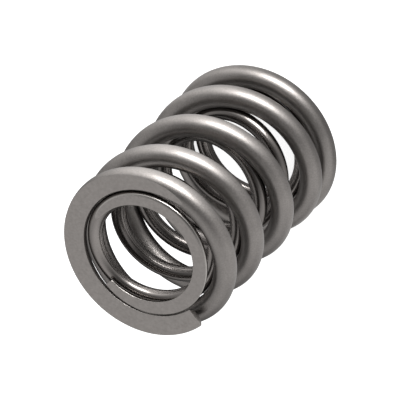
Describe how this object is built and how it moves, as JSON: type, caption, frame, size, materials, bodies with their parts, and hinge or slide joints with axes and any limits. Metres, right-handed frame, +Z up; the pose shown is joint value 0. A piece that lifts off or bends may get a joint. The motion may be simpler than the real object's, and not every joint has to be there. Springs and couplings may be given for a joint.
{
  "type": "dual valve spring",
  "caption": "Dual valve spring for an engine: an outer coil spring with a counter-wound inner coil spring nested in it, both with closed ends ground flat.",
  "frame": {"origin": "on the springs' common axis, in the plane of the bottom seat", "axes": "+Z up along the axis from the bottom seat to the retainer end; the top tip of the outer wire lies between +X and -Y"},
  "size_m": [0.0364, 0.0364, 0.0498],
  "materials": {
    "outer_spring_steel": "shot peened satin wire, fine ground seats",
    "inner_spring_steel": "shot peened satin wire, fine ground seats"
  },
  "bodies": {
    "root": {"outer_spring": "outer_spring_steel", "inner_spring": "inner_spring_steel"}
  },
  "joints": []
}
